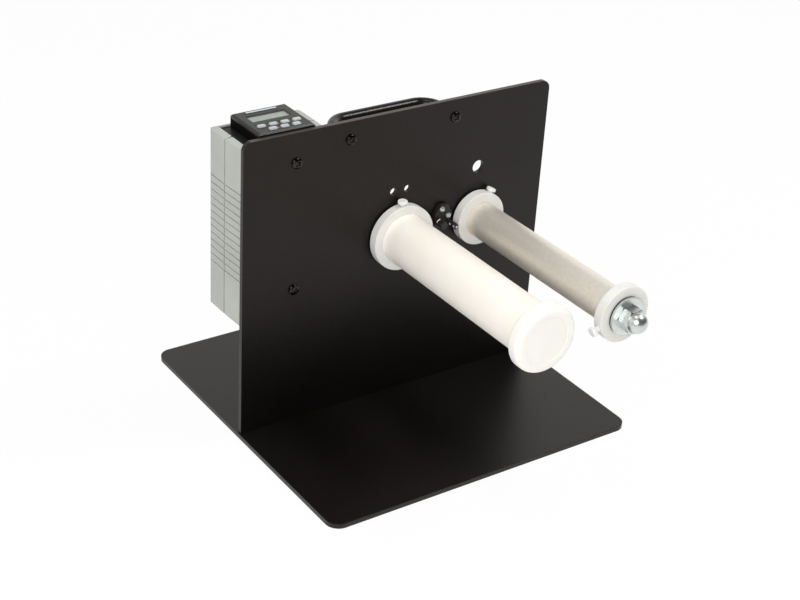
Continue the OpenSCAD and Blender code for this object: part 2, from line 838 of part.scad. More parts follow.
module counter_face() {
    mid_y = (counter_y0 + counter_y1) / 2;
    hole_w = key_w + 2 * key_hole_play;
    hole_d = key_d + 2 * key_hole_play;
    color("#302f2e") difference() {
        intersection() {
            translate([case_xm, counter_y1, face_low]) rotate([90, 0, 0])
                linear_extrude(counter_d) face_profile(counter_w);
            translate([counter_x0, mid_y, face_low]) rotate([90, 0, 90])
                linear_extrude(counter_w) face_profile(counter_d);
        }
        span([case_xm - window_w / 2, window_y0, face_low - cut],
             [case_xm + window_w / 2, window_y1, counter_top + cut]);
        for (p = key_places) translate([p[0], p[1], face_low - cut])
            linear_extrude(face_t + 2 * cut) rounded_rect(hole_w, hole_d, key_edge_r + key_hole_play);
    }
}

module lcd_window() {
    color("#9aa39a", 0.5)
        span([case_xm - window_w / 2, window_y0, counter_top - window_sink - window_t],
             [case_xm + window_w / 2, window_y1, counter_top - window_sink]);
}

module lcd_glass() {
    color("#8f978c")
        span([case_xm - window_w / 2 + lcd_margin, window_y0 + lcd_margin, board_low + board_t],
             [case_xm + window_w / 2 - lcd_margin, window_y1 - lcd_margin,
              counter_top - window_sink - window_t - play]);
}

module counter_board() {
    color("#2f5b3a") span([counter_x0 + counter_wall + play, counter_y0 + counter_wall + play, board_low],
        [counter_x1 - counter_wall - play, counter_y1 - counter_wall - play, board_low + board_t]);
}

// Spring frame that holds the counter under the top panel
module counter_clip() {
    color("#3a3a3a") difference() {
        span([case_xm - neck_w / 2 - clip_w, neck_y0 - clip_edge, top_panel_z - clip_t],
             [case_xm + neck_w / 2 + clip_w, neck_y1 + clip_edge, top_panel_z]);
        span([case_xm - neck_w / 2, neck_y0, top_panel_z - clip_t - cut],
             [case_xm + neck_w / 2, neck_y1, top_panel_z + cut]);
    }
}

// One key: a rounded bar in its hole, with a lip under the face that keeps it in
module counter_key(i) {
    lip_top = face_low - play;
    color("#c9cdd0") translate(key_places[i]) {
        translate([0, 0, lip_top - key_lip_t]) linear_extrude(key_lip_t)
            rounded_rect(key_w + 2 * key_lip, key_d + 2 * key_lip, key_edge_r);
        translate([0, 0, lip_top - play]) linear_extrude(face_t + play * 2 + key_rise - key_step)
            rounded_rect(key_w, key_d, key_edge_r);
        translate([0, 0, counter_top + key_rise - key_step_h]) linear_extrude(key_step_h)
            rounded_rect(key_w - 2 * key_step, key_d - 2 * key_step, key_edge_r - key_step);
    }
}

// Places its children at the four corners of the control board, on its front face
module at_control_posts() {
    for (x = [control_x0 + control_post_inset, control_x1 - control_post_inset],
         z = [control_z0 + control_post_inset, control_z1 - control_post_inset])
        translate([x, control_y, z]) children();
}

module control_board() {
    color("#2f5b3a") difference() {
        span([control_x0, control_y, control_z0], [control_x1, control_y + board_t, control_z1]);
        at_control_posts() rotate([-90, 0, 0]) translate([0, 0, -cut])
            cylinder(r = control_pin_r + play, h = board_t + 2 * cut);
    }
}

// Block on the control board's front face, its lower end at the given height
module board_block(size, z) {
    mid_x = (control_x0 + control_x1) / 2;
    translate([mid_x - size[0] / 2, control_y - size[1], z]) cube(size);
}

// Parts soldered to the control board: terminal block, transformer, driver chip and two capacitors
module board_components() {
    transformer_z = control_z0 + terminal_block[2] + component_gap;
    chip_z = transformer_z + transformer[2] + component_gap;
    capacitor_z = chip_z + driver_chip[2] + component_gap + capacitor_r;
    color("#4a4a4c") {
        board_block(terminal_block, control_z0);
        board_block(transformer, transformer_z);
        board_block(driver_chip, chip_z);
        for (s = [-1, 1])
            translate([(control_x0 + control_x1 + s * capacitor_pitch) / 2, control_y, capacitor_z])
                rotate([90, 0, 0]) cylinder(r = capacitor_r, h = capacitor_len);
    }
}

module power_inlet() {
    socket_h = inlet_flange_t + inlet_socket_depth;
    color("#191919") translate([inlet_x, case_ym, bottom_panel_z]) difference() {
        union() {
            translate([0, 0, -inlet_flange_t]) cylinder(r = inlet_flange_r, h = inlet_flange_t);
            cylinder(r = inlet_r, h = inlet_len);
        }
        difference() {
            translate([0, 0, -inlet_flange_t - cut]) cylinder(r = inlet_socket_r, h = socket_h + cut);
            translate([0, 0, inlet_pin_sink - inlet_flange_t]) cylinder(r = inlet_pin_r, h = socket_h);
        }
    }
}

module inlet_nut() {
    color("#8d8f91") translate([inlet_x, case_ym, bottom_panel_z + panel_t])
        hex_nut(2 * inlet_r + inlet_nut_w, inlet_nut_t, inlet_r);
}

module switch_body() {
    out_x = switch_w / 2 + switch_wall;
    out_y = switch_d / 2 + switch_wall;
    tab_z = bottom_panel_z + switch_h - play;
    color("#191919") translate([switch_x, case_ym, 0]) difference() {
        union() {
            span([-out_x, -out_y, bottom_panel_z - play], [out_x, out_y, bottom_panel_z + switch_h]);
            span([-out_x - switch_lip, -out_y - switch_lip, bottom_panel_z - switch_lip_t],
                 [out_x + switch_lip, out_y + switch_lip, bottom_panel_z]);
            for (s = [-1, 1])
                translate([s * switch_tab_x - switch_tab[0] / 2, -switch_tab[1] / 2, tab_z])
                    cube(switch_tab);
        }
        span([-switch_w / 2, -switch_d / 2, bottom_panel_z - switch_lip_t - cut],
             [switch_w / 2, switch_d / 2, bottom_panel_z + switch_room]);
        translate([0, -out_y - cut, switch_pivot_z]) rotate([-90, 0, 0])
            cylinder(r = rocker_pin_r + running, h = 2 * out_y + 2 * cut);
    }
}

// Rocker tilted to its off side, with two pivot pins
module switch_rocker() {
    half_w = rocker_w / 2;
    half_d = switch_d / 2 - rocker_gap;
    pin_reach = switch_d / 2 + switch_wall - play;
    color("#222222") translate([switch_x, case_ym, switch_pivot_z]) rotate([0, rocker_tilt, 0]) {
        translate([0, half_d, 0]) rotate([90, 0, 0]) linear_extrude(2 * half_d)
            polygon([
                [-half_w, -rocker_side], [-half_w, -rocker_low], [0, -rocker_dip], [half_w, -rocker_low],
                [half_w, -rocker_side], [rocker_back_w / 2, rocker_back], [-rocker_back_w / 2, rocker_back]
            ]);
        translate([0, -pin_reach, 0]) rotate([-90, 0, 0]) cylinder(r = rocker_pin_r, h = 2 * pin_reach);
    }
}

// Round bar bent into a flat bow, screwed on at both ends
module carry_handle() {
    half = handle_pitch / 2;
    bend_y = handle_reach - handle_bend_r;
    color("#1f1f20") translate([handle_x, back, handle_z]) difference() {
        union() {
            translate([handle_bend_r - half, handle_reach, 0]) rotate([0, 90, 0])
                cylinder(r = handle_bar_r, h = handle_pitch - 2 * handle_bend_r);
            for (s = [0, 1]) mirror([s, 0, 0]) {
                translate([half, 0, 0]) rotate([-90, 0, 0]) cylinder(r = handle_bar_r, h = bend_y);
                translate([half - handle_bend_r, bend_y, 0]) rotate_extrude(angle = 90)
                    translate([handle_bend_r, 0]) circle(r = handle_bar_r);
            }
        }
        for (s = [-1, 1]) translate([s * half, -cut, 0]) rotate([-90, 0, 0])
            cylinder(r = screw_r, h = handle_hole_depth + cut);
    }
}

module handle_screws() {
    color("#1b1b1c") for (s = [-1, 1])
        translate([handle_x + s * handle_pitch / 2, front, handle_z]) rotate([90, 0, 0])
            pan_screw(screw_head_r, screw_head_h, screw_r, plate_t + handle_hole_depth - handle_hole_room);
}

// Turned housing: flange on the upright, bearing bore, chamber and the socket of the gear motor
module bearing_housing() {
    socket_end = motor_start + socket_len;
    color("#a9abad") difference() {
        union() {
            back_rod(drive_x, spindle_z, housing_flange_r, 0, housing_flange_t);
            back_rod(drive_x, spindle_z, housing_r, 0, socket_end);
        }
        back_rod(drive_x, spindle_z, bush_r, -cut, bearing_depth + cut);
        back_rod(drive_x, spindle_z, bush_r + chamber_room, bearing_depth, motor_start + cut);
        back_rod(drive_x, spindle_z, gearbox_r, motor_start, socket_end + cut);
        for (a = housing_screw_turns) at_radius(drive_x, 0, a) translate([0, 0, housing_screw_ring])
            rotate([-90, 0, 0]) cylinder(r = small_screw_r, h = plate_t + housing_flange_t + cut);
        at_motor_screws() cylinder(r = set_screw_r, h = housing_r - gearbox_r + 2 * cut);
    }
}

// Places its children at the two radial set screws of the motor, local z outward
module at_motor_screws() {
    for (a = [180, 270]) at_radius(drive_x, -plate_t - motor_start - socket_len / 2, a)
        translate([0, 0, gearbox_r]) children();
}

module motor_set_screws() {
    color("#3b3b3d") at_motor_screws() set_screw(set_screw_r, housing_r - gearbox_r);
}

module housing_screws() {
    color("#8d8f91") for (a = housing_screw_turns) at_radius(drive_x, 0, a)
        translate([0, 0, housing_screw_ring]) rotate([-90, 0, 0]) difference() {
            union() {
                cylinder(r1 = countersink_r, r2 = small_screw_r, h = countersink_h);
                cylinder(r = small_screw_r, h = plate_t + housing_flange_t);
            }
            for (b = [0, 90]) rotate([0, 0, b]) cube(cross_slot, center = true);
        }
}

module shaft_bushes() {
    color("#a87a3a") for (b = [0, bearing_depth - bush_len])
        back_ring(drive_x, spindle_z, bush_r, shaft_r + running, b, b + bush_len);
}

module drive_shaft() {
    color("#b5b7ba") {
        out_rod(drive_x, spindle_z, shaft_r, -plate_t - shaft_rear, spool_end + flange_seat);
        back_rod(drive_x, spindle_z, shaft_tip_r, shaft_rear - play, shaft_rear + shaft_tip_len);
    }
}

module gearbox_case() {
    color("#8f9194") difference() {
        back_rod(drive_x, spindle_z, gearbox_r, motor_start, motor_start + gearbox_len);
        back_rod(drive_x, spindle_z, shaft_tip_r + running, motor_start - cut,
            shaft_rear + shaft_tip_len + shaft_tip_room);
    }
}

module motor_can() {
    color("#9b9da0") back_rod(drive_x, spindle_z, motor_r, motor_start + gearbox_len, motor_end);
}

module motor_cap() {
    color("#d8d6cf") {
        back_rod(drive_x, spindle_z, motor_r - cap_inset, motor_end, motor_end + cap_len);
        for (s = [-1, 1]) translate([drive_x + s * motor_tab_x, back + motor_end + cap_len, spindle_z])
            translate([-motor_tab[0] / 2, -play, -motor_tab[2] / 2]) cube(motor_tab);
    }
}

module spool_tube() {
    color("#f3efe4") difference() {
        out_ring(drive_x, spindle_z, spool_r, spool_bore_r, tube_gap, spool_end);
        at_radius(drive_x, tube_gap + hub_len / 2, 180) translate([0, 0, spool_bore_r - cut])
            cylinder(r = set_screw_r + access_play, h = spool_wall + 2 * cut);
    }
}

module spool_hub() {
    color("#e9e6dc") difference() {
        out_ring(drive_x, spindle_z, spool_bore_r, shaft_r, tube_gap, tube_gap + hub_len);
        at_radius(drive_x, tube_gap + hub_len / 2, 180) cylinder(r = set_screw_r, h = spool_bore_r + cut);
    }
}

module hub_set_screw() {
    color("#3b3b3d") at_radius(drive_x, tube_gap + hub_len / 2, 180) translate([0, 0, shaft_r])
        set_screw(set_screw_r, spool_bore_r - shaft_r - hub_screw_sink);
}

// Closed end flange with a soft rim, a shallow round dish and a plug in the tube
module spool_flange() {
    dish_z = flange_t - flange_dish;
    color("#f6f3ea") translate([drive_x, front - spool_end, spindle_z]) rotate([90, 0, 0]) difference() {
        union() {
            rotate_extrude() polygon(concat(
                [[0, 0]],
                arc(flange_r - flange_back_r, flange_back_r, flange_back_r, -90, 0, 5),
                arc(flange_r - flange_soft_r, flange_t - flange_soft_r, flange_soft_r, 0, 90, 8),
                [[flange_dish_r + flange_dish, flange_t], [flange_dish_r, dish_z], [0, dish_z]]
            ));
            translate([0, 0, -flange_plug]) cylinder(r = spool_bore_r, h = flange_plug + play);
        }
        translate([0, 0, -flange_plug - cut])
            cylinder(r = shaft_r, h = flange_plug + flange_seat + 2 * cut);
    }
}

module spool_collar() {
    color("#eef0ee") sliding_collar(drive_x, spool_collar_r, spool_r + running, collar_gap,
        spool_collar_t, spool_thumb_turn);
}

module spool_collar_screw() {
    color("#fbfbfa") thumb_screw(drive_x, spool_collar_r, spool_r + 2 * play,
        collar_gap + spool_collar_t / 2, spool_thumb_turn, spool_thumb_gap);
}

module idle_axle() {
    color("#a9abad") out_rod(idle_x, spindle_z, axle_r, -plate_t - axle_rear, axle_front);
}

// One nut behind the upright and one in front of it, inside the tube
module axle_nuts() {
    color("#b7bbbd") {
        translate([idle_x, back + washer_t, spindle_z]) rotate([-90, 0, 0])
            hex_nut(nut_flats, nut_t, axle_r);
        translate([idle_x, front - washer_t, spindle_z]) rotate([90, 0, 0])
            hex_nut(nut_flats, nut_t, axle_r);
    }
}

module axle_washers() {
    color("#b7bbbd") {
        back_ring(idle_x, spindle_z, rear_washer_r, axle_r, 0, washer_t);
        out_ring(idle_x, spindle_z, idle_bore_r - washer_room, axle_r, 0, washer_t);
    }
}

module idle_tube() {
    color("#a5a096") out_ring(idle_x, spindle_z, idle_r, idle_bore_r, tube_gap, idle_end);
}

module tube_bushes() {
    inner_start = washer_t + nut_t + washer_room;
    color("#e9e6dc") for (d = [inner_start, idle_end - tube_bush_len])
        out_ring(idle_x, spindle_z, idle_bore_r, axle_r + running, d, d + tube_bush_len);
}

module inner_collar() {
    color("#eef0ee") sliding_collar(idle_x, idle_collar_r, idle_r + running, collar_gap,
        idle_collar_t, inner_thumb_turn);
}

module inner_collar_screw() {
    color("#fbfbfa") thumb_screw(idle_x, idle_collar_r, idle_r + 2 * play,
        collar_gap + idle_collar_t / 2, inner_thumb_turn, inner_thumb_gap);
}

module outer_collar() {
    color("#eef0ee") sliding_collar(idle_x, idle_collar_r, idle_r + running, outer_collar_start,
        idle_collar_t, outer_thumb_turn);
}

module outer_collar_screw() {
    color("#fbfbfa") thumb_screw(idle_x, idle_collar_r, idle_r + 2 * play,
        outer_collar_start + idle_collar_t / 2, outer_thumb_turn, outer_thumb_gap);
}

module friction_washer() {
    color("#1b1b1b")
        out_ring(idle_x, spindle_z, friction_washer_r, axle_r, friction_start, flat_washer_start);
}

module flat_washer() {
    color("#c3c8c8") out_ring(idle_x, spindle_z, flat_washer_r, axle_r, flat_washer_start, acorn_start);
}

module acorn_nut() {
    color("#c9cecf") translate([idle_x, front - acorn_start, spindle_z]) rotate([90, 0, 0]) difference() {
        union() {
            hex_nut(nut_flats, acorn_hex_h, axle_r);
            translate([0, 0, acorn_hex_h - play]) rotate_extrude() polygon(concat(
                [[0, 0], [acorn_dome_r, 0]],
                [for (i = [0 : 10]) let (a = 90 * i / 10)
                    [acorn_dome_r * cos(a),
                     play + acorn_shoulder + (acorn_dome_h - acorn_shoulder) * sin(a)]]
            ));
        }
        translate([0, 0, -cut]) cylinder(r = axle_r, h = axle_front - acorn_start + cut);
    }
}

// Fork sensor: a foot on the upright, a round prong and a square prong with a gap for the label web
module sensor_body() {
    color("#161616") difference() {
        union() {
            translate([0, front, 0]) rotate([90, 0, 0]) linear_extrude(sensor_t) polygon([
                [sensor_left, sensor_low], [prong_right + sensor_foot, sensor_low],
                [prong_right + sensor_foot, sensor_shoulder], [sensor_top_x1, sensor_high],
                [sensor_top_x0, sensor_high], [sensor_left, sensor_high - sensor_slope]
            ]);
            out_rod(barrel_x, barrel_z, barrel_r, sensor_t - play, barrel_reach);
            span([prong_right - prong_w, front - prong_reach, prong_z - prong_h / 2],
                 [prong_right, front - sensor_t + play, prong_z + prong_h / 2]);
        }
        out_rod(idle_x, spindle_z, sensor_clear_r, -cut, prong_reach + cut);
        for (p = sensor_screw_places) out_rod(p[0], p[1], sensor_screw_r, -cut, sensor_t + cut);
        at_sensor_lenses() cylinder(r = lens_r, h = lens_depth + lens_rise);
    }
}

// Places its children at the two lenses of the sensor's gap, local z out of the prong
module at_sensor_lenses() {
    translate([prong_right - prong_w + lens_depth, front - prong_reach + lens_inset, prong_z])
        rotate([0, -90, 0]) children();
    translate([barrel_x + barrel_r - lens_depth, front - barrel_reach + lens_inset, barrel_z])
        rotate([0, 90, 0]) children();
}

module sensor_lenses() {
    color("#c9c4ba") at_sensor_lenses() cylinder(r = lens_r, h = lens_depth + lens_rise);
}

module sensor_screws() {
    color("#c9cecf") for (p = sensor_screw_places)
        translate([p[0], front - sensor_t, p[1]]) rotate([90, 0, 0])
            pan_screw(sensor_head_r, sensor_head_h, sensor_screw_r, sensor_t + plate_t);
}

base_plate();
upright_plate();
case_front_half();
case_rear_half();
case_top_panel();
case_bottom_panel();
case_screws();
case_mount_screws();
counter_housing();
counter_face();
counter_board();
counter_clip();
lcd_glass();
lcd_window();
for (i = [0 : len(key_places) - 1])
    counter_key(i);
control_board();
board_components();
power_inlet();
inlet_nut();
switch_body();
switch_rocker();
carry_handle();
handle_screws();
bearing_housing();
housing_screws();
shaft_bushes();
drive_shaft();
gearbox_case();
motor_can();
motor_cap();
motor_set_screws();
spool_tube();
spool_hub();
hub_set_screw();
spool_flange();
spool_collar();
spool_collar_screw();
idle_axle();
axle_nuts();
axle_washers();
idle_tube();
tube_bushes();
inner_collar();
inner_collar_screw();
outer_collar();
outer_collar_screw();
friction_washer();
flat_washer();
acorn_nut();
sensor_body();
sensor_lenses();
sensor_screws();
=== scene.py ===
"""Looks, light and camera of the label counting station."""
import json
import math

import bmesh
import bpy
from mathutils import Matrix, Vector


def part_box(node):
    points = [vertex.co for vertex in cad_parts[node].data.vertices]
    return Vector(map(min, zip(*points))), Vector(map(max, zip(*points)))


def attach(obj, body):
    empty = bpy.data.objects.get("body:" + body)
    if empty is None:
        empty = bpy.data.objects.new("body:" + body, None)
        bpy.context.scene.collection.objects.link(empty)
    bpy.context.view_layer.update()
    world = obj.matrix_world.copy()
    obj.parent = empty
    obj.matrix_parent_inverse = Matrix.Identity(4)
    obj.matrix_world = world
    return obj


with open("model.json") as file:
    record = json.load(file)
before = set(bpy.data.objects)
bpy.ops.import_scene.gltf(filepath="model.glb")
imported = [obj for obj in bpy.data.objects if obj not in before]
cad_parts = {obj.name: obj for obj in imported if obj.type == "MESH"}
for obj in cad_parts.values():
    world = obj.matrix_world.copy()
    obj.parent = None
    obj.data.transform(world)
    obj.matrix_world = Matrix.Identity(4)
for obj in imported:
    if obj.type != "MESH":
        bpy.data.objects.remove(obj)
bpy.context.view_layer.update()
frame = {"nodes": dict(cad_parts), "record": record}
nodes = frame["nodes"]
scene = bpy.context.scene

# How far a grain is drawn out along x, y and z. The spindles lie along y.
even = (1.0, 1.0, 1.0)
turned = (20.0, 1.0, 20.0)
finely_turned = (30.0, 1.0, 30.0)
drawn = (1.0, 12.0, 1.0)

# Radius to which the shader softens sharp edges, in metres.
sheet_edge = 0.0005
plastic_edge = 0.0003
metal_edge = 0.0002

# Most of a noise texture's values lie between these two.
noise_low = 0.3
noise_high = 0.7


def linear(red, green, blue):
    """A colour given as it looks on a screen, 0 to 255, as linear light."""
    def one(value):
        value /= 255
        return value / 12.92 if value <= 0.04045 else ((value + 0.055) / 1.055) ** 2.4
    return (one(red), one(green), one(blue), 1.0)


def spread_range(tree, value, low, high, start, end):
    """The value's range from start to end, spread over low to high."""
    node = tree.nodes.new("ShaderNodeMapRange")
    node.inputs["From Min"].default_value = start
    node.inputs["From Max"].default_value = end
    node.inputs["To Min"].default_value = low
    node.inputs["To Max"].default_value = high
    tree.links.new(value, node.inputs["Value"])
    return node.outputs["Result"]


def combine(tree, operation, first, second):
    """One value made of two. The second may be a plain number."""
    node = tree.nodes.new("ShaderNodeMath")
    node.operation = operation
    tree.links.new(first, node.inputs[0])
    if isinstance(second, float):
        node.inputs[1].default_value = second
    else:
        tree.links.new(second, node.inputs[1])
    return node.outputs[0]


def mixed(tree, factor, first, second):
    """The first shader where the factor is 0, and the second where it is 1."""
    node = tree.nodes.new("ShaderNodeMixShader")
    tree.links.new(factor, node.inputs["Fac"])
    tree.links.new(first, node.inputs[1])
    tree.links.new(second, node.inputs[2])
    return node.outputs[0]


class Finish:
    """A material under construction: the shader and the textures that drive it."""

    def __init__(self, name, metallic=0.0, specular=0.5, edge=0.0):
        self.material = bpy.data.materials.new(name)
        self.material.use_nodes = True
        self.tree = self.material.node_tree
        self.shader = self.tree.nodes["Principled BSDF"]
        self.shader.inputs["Metallic"].default_value = metallic
        self.shader.inputs["Specular IOR Level"].default_value = specular
        self.normal = None
        if edge:
            bevel = self.add("ShaderNodeBevel")
            bevel.samples = 4
            bevel.inputs["Radius"].default_value = edge
            self.normal = bevel.outputs["Normal"]
            self.link(self.normal, self.shader.inputs["Normal"])

    def add(self, kind):
        """A new node of this kind."""
        return self.tree.nodes.new(kind)

    def link(self, source, target):
        """Lets the source drive the target."""
        self.tree.links.new(source, target)

    def noise(self, size, detail, stretch=even):
        """Noise whose grains are about this many metres across, stretched along the given axes."""
        place = self.add("ShaderNodeTexCoord")
        mapping = self.add("ShaderNodeMapping")
        mapping.inputs["Scale"].default_value = [1.0 / s for s in stretch]
        texture = self.add("ShaderNodeTexNoise")
        texture.inputs["Scale"].default_value = 1.0 / size
        texture.inputs["Detail"].default_value = detail
        self.link(place.outputs["Object"], mapping.inputs["Vector"])
        self.link(mapping.outputs["Vector"], texture.inputs["Vector"])
        return texture.outputs["Fac"]

    def spread(self, value, low, high, start=noise_low, end=noise_high):
        """The value's range from start to end, spread over low to high."""
        return spread_range(self.tree, value, low, high, start, end)

    def between(self, value, dark, light, start=noise_low, end=noise_high):
        """A colour between two, chosen by the value."""
        ramp = self.add("ShaderNodeValToRGB")
        ramp.color_ramp.elements[0].position = start
        ramp.color_ramp.elements[0].color = dark
        ramp.color_ramp.elements[1].position = end
        ramp.color_ramp.elements[1].color = light
        self.link(value, ramp.inputs["Fac"])
        return ramp.outputs["Color"]

    def over(self, mask, under, upper):
        """The plain upper colour where the mask is 1, and what lies under it where the mask is 0."""
        mix = self.add("ShaderNodeMix")
        mix.data_type = "RGBA"
        self.link(mask, mix.inputs["Factor"])
        colours = [socket for socket in mix.inputs if socket.type == "RGBA"]
        self.link(under, colours[0])
        colours[1].default_value = upper
        return [socket for socket in mix.outputs if socket.type == "RGBA"][0]

    def paint(self, colour):
        """Sets what drives the colour."""
        self.link(colour, self.shader.inputs["Base Color"])

    def gloss(self, value):
        """Sets what drives the roughness."""
        self.link(value, self.shader.inputs["Roughness"])

    def relief(self, value, depth, strength):
        """Bumps of about this many metres, on top of the softened edges."""
        node = self.add("ShaderNodeBump")
        node.inputs["Strength"].default_value = strength
        node.inputs["Distance"].default_value = depth
        self.link(value, node.inputs["Height"])
        if self.normal is not None:
            self.link(self.normal, node.inputs["Normal"])
        self.normal = node.outputs["Normal"]
        self.link(self.normal, self.shader.inputs["Normal"])


def above(finish, height):
    """1 higher than this above the table, 0 below."""
    blur = 0.00005
    place = finish.add("ShaderNodeTexCoord")
    parts = finish.add("ShaderNodeSeparateXYZ")
    finish.link(place.outputs["Object"], parts.inputs["Vector"])
    return finish.spread(parts.outputs["Z"], 0.0, 1.0, height - blur, height + blur)


def powder_coat(name, specular, painted_light_colour=None, painted_light_height=0.0):
    """Black powder coat with a fine orange peel, and, if a colour is given, a lighter colour painted above a
    height: a painted highlight of the lit top face.
    """
    warm_shine = (1.0, 0.91, 0.86, 1.0)
    finish = Finish(name, specular=specular, edge=sheet_edge)
    finish.shader.inputs["Specular Tint"].default_value = warm_shine
    body = finish.between(finish.noise(size=0.05, detail=3.0), linear(11, 8, 8), linear(15, 12, 12))
    # Painted highlight: above the height the coat takes the given lighter colour, standing in for light
    # falling on the top face.
    if painted_light_colour:
        body = finish.over(above(finish, painted_light_height), body, painted_light_colour)
    finish.paint(body)
    peel = finish.noise(size=0.0011, detail=2.0)
    finish.gloss(finish.spread(peel, 0.3, 0.4))
    finish.relief(peel, depth=0.00012, strength=0.6)
    return finish.material


def moulded(name, dark, light, rough=(0.45, 0.6), grain=0.0006, depth=0.00005, specular=0.4):
    """Injection-moulded plastic with a fine eroded grain and a slow drift of its colour."""
    finish = Finish(name, specular=specular, edge=plastic_edge)
    finish.paint(finish.between(finish.noise(size=0.03, detail=3.0), dark, light))
    grains = finish.noise(size=grain, detail=2.0)
    finish.gloss(finish.spread(grains, rough[0], rough[1]))
    finish.relief(grains, depth=depth, strength=0.4)
    return finish.material


def turned_plastic(name, dark, light, glow=0.15):
    """Machined white plastic: faint rings round the spindle, and light that spreads a little inside."""
    finish = Finish(name, specular=0.35, edge=plastic_edge)
    finish.shader.inputs["Subsurface Weight"].default_value = glow
    finish.shader.inputs["Subsurface Radius"].default_value = (0.004, 0.003, 0.002)
    finish.shader.inputs["Subsurface Scale"].default_value = 1.0
    finish.paint(finish.between(finish.noise(size=0.02, detail=2.0), dark, light))
    rings = finish.noise(size=0.0007, detail=1.0, stretch=finely_turned)
    finish.gloss(finish.spread(rings, 0.34, 0.5))
    finish.relief(rings, depth=0.00003, strength=0.3)
    return finish.material


def metal(name, dark, light, rough, grain=0.0008, stretch=even, depth=0.00002, metallic=1.0, drift=0.008):
    """Bare or plated metal with the fine lines of its making and a drift of its colour."""
    finish = Finish(name, metallic=metallic, edge=metal_edge)
    finish.paint(finish.between(finish.noise(size=drift, detail=3.0), dark, light))
    lines = finish.noise(size=grain, detail=2.0, stretch=stretch)
    finish.gloss(finish.spread(lines, rough[0], rough[1]))
    finish.relief(lines, depth=depth, strength=0.3)
    return finish.material


def display():
    """Reflective liquid crystal: a pale green-grey field with a faint dot raster."""
    finish = Finish("display_field", specular=0.3)
    field = finish.noise(size=0.004, detail=2.0)
    finish.paint(finish.between(field, linear(161, 168, 158), linear(175, 181, 171)))
    raster = finish.noise(size=0.0004, detail=0.0)
    finish.gloss(finish.spread(raster, 0.35, 0.5))
    return finish.material


def window_glass():
    """Clear window over the display, with a faint smear in its gloss."""
    finish = Finish("display_window", specular=0.4)
    finish.shader.inputs["Base Color"].default_value = linear(190, 196, 186)
    finish.shader.inputs["Alpha"].default_value = 0.12
    smear = finish.noise(size=0.006, detail=2.0)
    finish.gloss(finish.spread(smear, 0.08, 0.2))
    return finish.material


def solder_mask():
    """Circuit board: green lacquer over copper tracks."""
    finish = Finish("circuit_board", specular=0.5)
    tracks = finish.noise(size=0.003, detail=0.0, stretch=(1.0, 4.0, 1.0))
    finish.paint(finish.between(tracks, linear(34, 78, 48), linear(52, 104, 64), start=0.48, end=0.52))
    finish.gloss(finish.spread(tracks, 0.3, 0.42))
    finish.relief(tracks, depth=0.00003, strength=0.4)
    return finish.material


looks = {
    "powder_coat": powder_coat("powder_coat", specular=0.42),
    "case_grey": moulded("case_grey", linear(175, 178, 172), linear(184, 187, 181),
                         rough=(0.5, 0.62), grain=0.0007, depth=0.00006),
    "panel_black": moulded("panel_black", linear(14, 13, 13), linear(19, 18, 18), rough=(0.4, 0.5)),
    "counter_black": moulded("counter_black", linear(20, 17, 15), linear(26, 23, 20),
                             rough=(0.3, 0.38), specular=0.4),
    "display": display(),
    "display_window": window_glass(),
    "key_grey": moulded("key_grey", linear(184, 188, 191), linear(200, 203, 206), rough=(0.35, 0.5)),
    "circuit_board": solder_mask(),
    "board_parts": moulded("board_parts", linear(44, 44, 46), linear(60, 60, 62), rough=(0.4, 0.6)),
    "socket_black": moulded("socket_black", linear(20, 20, 20), linear(28, 28, 28), rough=(0.35, 0.5)),
    "handle_black": moulded("handle_black", linear(20, 17, 14), linear(27, 23, 20),
                            rough=(0.22, 0.28), grain=0.0007, depth=0.00003, specular=0.3),
    "black_screw": metal("black_screw", linear(46, 43, 41), linear(64, 60, 57),
                         rough=(0.14, 0.2), depth=0.000004),
    "zinc": metal("zinc", linear(204, 211, 209), linear(228, 232, 230), rough=(0.3, 0.34), depth=0.000003),
    "steel": metal("steel", linear(160, 162, 164), linear(190, 192, 194),
                   rough=(0.25, 0.4), grain=0.0006, stretch=turned),
    "cast_aluminium": metal("cast_aluminium", linear(160, 162, 164), linear(188, 190, 192),
                            rough=(0.32, 0.46), grain=0.0006, stretch=turned),
    "bronze": metal("bronze", linear(150, 108, 58), linear(176, 132, 76), rough=(0.4, 0.55), grain=0.0005),
    "motor_shell": metal("motor_shell", linear(140, 142, 144), linear(168, 170, 172),
                         rough=(0.28, 0.42), grain=0.001, stretch=drawn),
    "motor_cap_white": moulded("motor_cap_white", linear(208, 205, 196), linear(222, 219, 210)),
    "spool_white": turned_plastic("spool_white", linear(252, 245, 233), linear(254, 248, 239), glow=0.2),
    "collar_white": turned_plastic("collar_white", linear(227, 226, 221), linear(235, 234, 230)),
    "nylon": turned_plastic("nylon", linear(240, 240, 238), linear(246, 246, 244)),
    "tube_metal": metal("tube_metal", linear(239, 232, 220), linear(248, 241, 229),
                        rough=(0.46, 0.54), grain=0.0007, depth=0.00001, metallic=0.72, drift=0.002),
    "friction_black": moulded("friction_black", linear(22, 22, 22), linear(32, 32, 32),
                              rough=(0.6, 0.8), grain=0.0004),
    "sensor_black": moulded("sensor_black", linear(33, 29, 28), linear(41, 37, 35), rough=(0.3, 0.42)),
    "lens_grey": moulded("lens_grey", linear(190, 186, 178), linear(212, 208, 200), rough=(0.12, 0.22)),
}

